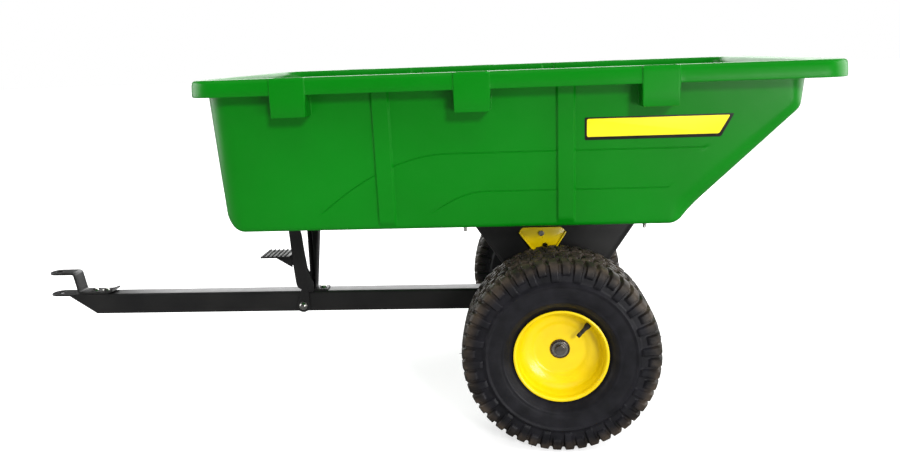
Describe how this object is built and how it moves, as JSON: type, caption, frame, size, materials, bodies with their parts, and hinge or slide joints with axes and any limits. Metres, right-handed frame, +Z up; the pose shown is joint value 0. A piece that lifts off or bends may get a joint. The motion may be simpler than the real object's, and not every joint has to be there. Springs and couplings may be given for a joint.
{
  "type": "tow behind cart",
  "caption": "Tow-behind dump cart with a moulded tub that tips about its axle, a foot latch, a channel drawbar and pneumatic wheels on dished rims.",
  "frame": {"origin": "on the ground under the middle of the cart's bounding box", "axes": "+X from the hitch towards the dumping end, +Y to the cart's right, +Z up"},
  "size_m": [1.862, 0.831, 0.7889],
  "materials": {
    "black_coat": "satin black powder coat",
    "zinc": "bright zinc plate",
    "pad_rubber": "matt rubber",
    "bare_steel": "turned steel, oiled",
    "green_poly": "moulded polyethylene with a soft sheen",
    "yellow_paint": "gloss yellow paint",
    "decal": "printed film, yellow with a black edge",
    "tyre_rubber": "matt tyre rubber",
    "hub_steel": "dull steel tube",
    "bearing_steel": "ground steel",
    "valve_rubber": "matt rubber",
    "cap_plastic": "matt black plastic"
  },
  "bodies": {
    "drawbar": {"drawbar": "black_coat", "hitch_plate": "black_coat", "drawbar_bolts": "zinc", "drawbar_nuts": "zinc", "pivot_sleeve": "black_coat", "latch_stand": "black_coat", "stand_pad": "pad_rubber", "lever_pivot_bolt": "zinc", "lever_pivot_nut": "zinc", "lever_pivot_washers": "zinc", "lever_bushing": "bare_steel"},
    "tub": {"tub": "green_poly", "axle_support_left": "black_coat", "axle_support_right": "black_coat", "side_strut_left": "yellow_paint", "side_strut_right": "yellow_paint", "strut_bolts": "zinc", "strut_nuts": "zinc", "tub_bolts": "zinc", "tub_nuts": "zinc", "latch_striker": "black_coat", "axle": "bare_steel", "inner_spacer_left": "bare_steel", "inner_spacer_right": "bare_steel", "outer_spacer_left": "bare_steel", "outer_spacer_right": "bare_steel", "axle_washers": "zinc", "retaining_rings": "bare_steel", "side_decal_left": "decal", "side_decal_right": "decal"},
    "foot_lever": {"foot_lever": "black_coat", "foot_pedal": "black_coat", "lever_spring": "zinc"},
    "wheel_left": {"tyre_left": "tyre_rubber", "rim_outer_left": "yellow_paint", "rim_inner_left": "yellow_paint", "hub_left": "hub_steel", "bearings_left": "bearing_steel", "valve_stem_left": "valve_rubber", "valve_cap_left": "cap_plastic"},
    "wheel_right": {"tyre_right": "tyre_rubber", "rim_outer_right": "yellow_paint", "rim_inner_right": "yellow_paint", "hub_right": "hub_steel", "bearings_right": "bearing_steel", "valve_stem_right": "valve_rubber", "valve_cap_right": "cap_plastic"}
  },
  "joints": [
    {"name": "tub_dump", "type": "hinge", "parent": "drawbar", "child": "tub", "pos_m": [0.371, 0, 0.206], "axis": [0, 1, 0], "range_deg": [0, 75]},
    {"name": "foot_lever_press", "type": "hinge", "parent": "drawbar", "child": "foot_lever", "pos_m": [-0.257, 0, 0.208], "axis": [0, 1, 0], "range_deg": [-15, 0], "stiffness_Nm_per_rad": 6, "springref_deg": 8.59, "deforming": ["lever_spring"]},
    {"name": "wheel_left_spin", "type": "hinge", "parent": "tub", "child": "wheel_left", "pos_m": [0.371, -0.333, 0.206], "axis": [0, 1, 0], "continuous": true},
    {"name": "wheel_right_spin", "type": "hinge", "parent": "tub", "child": "wheel_right", "pos_m": [0.371, 0.333, 0.206], "axis": [0, 1, 0], "continuous": true}
  ]
}
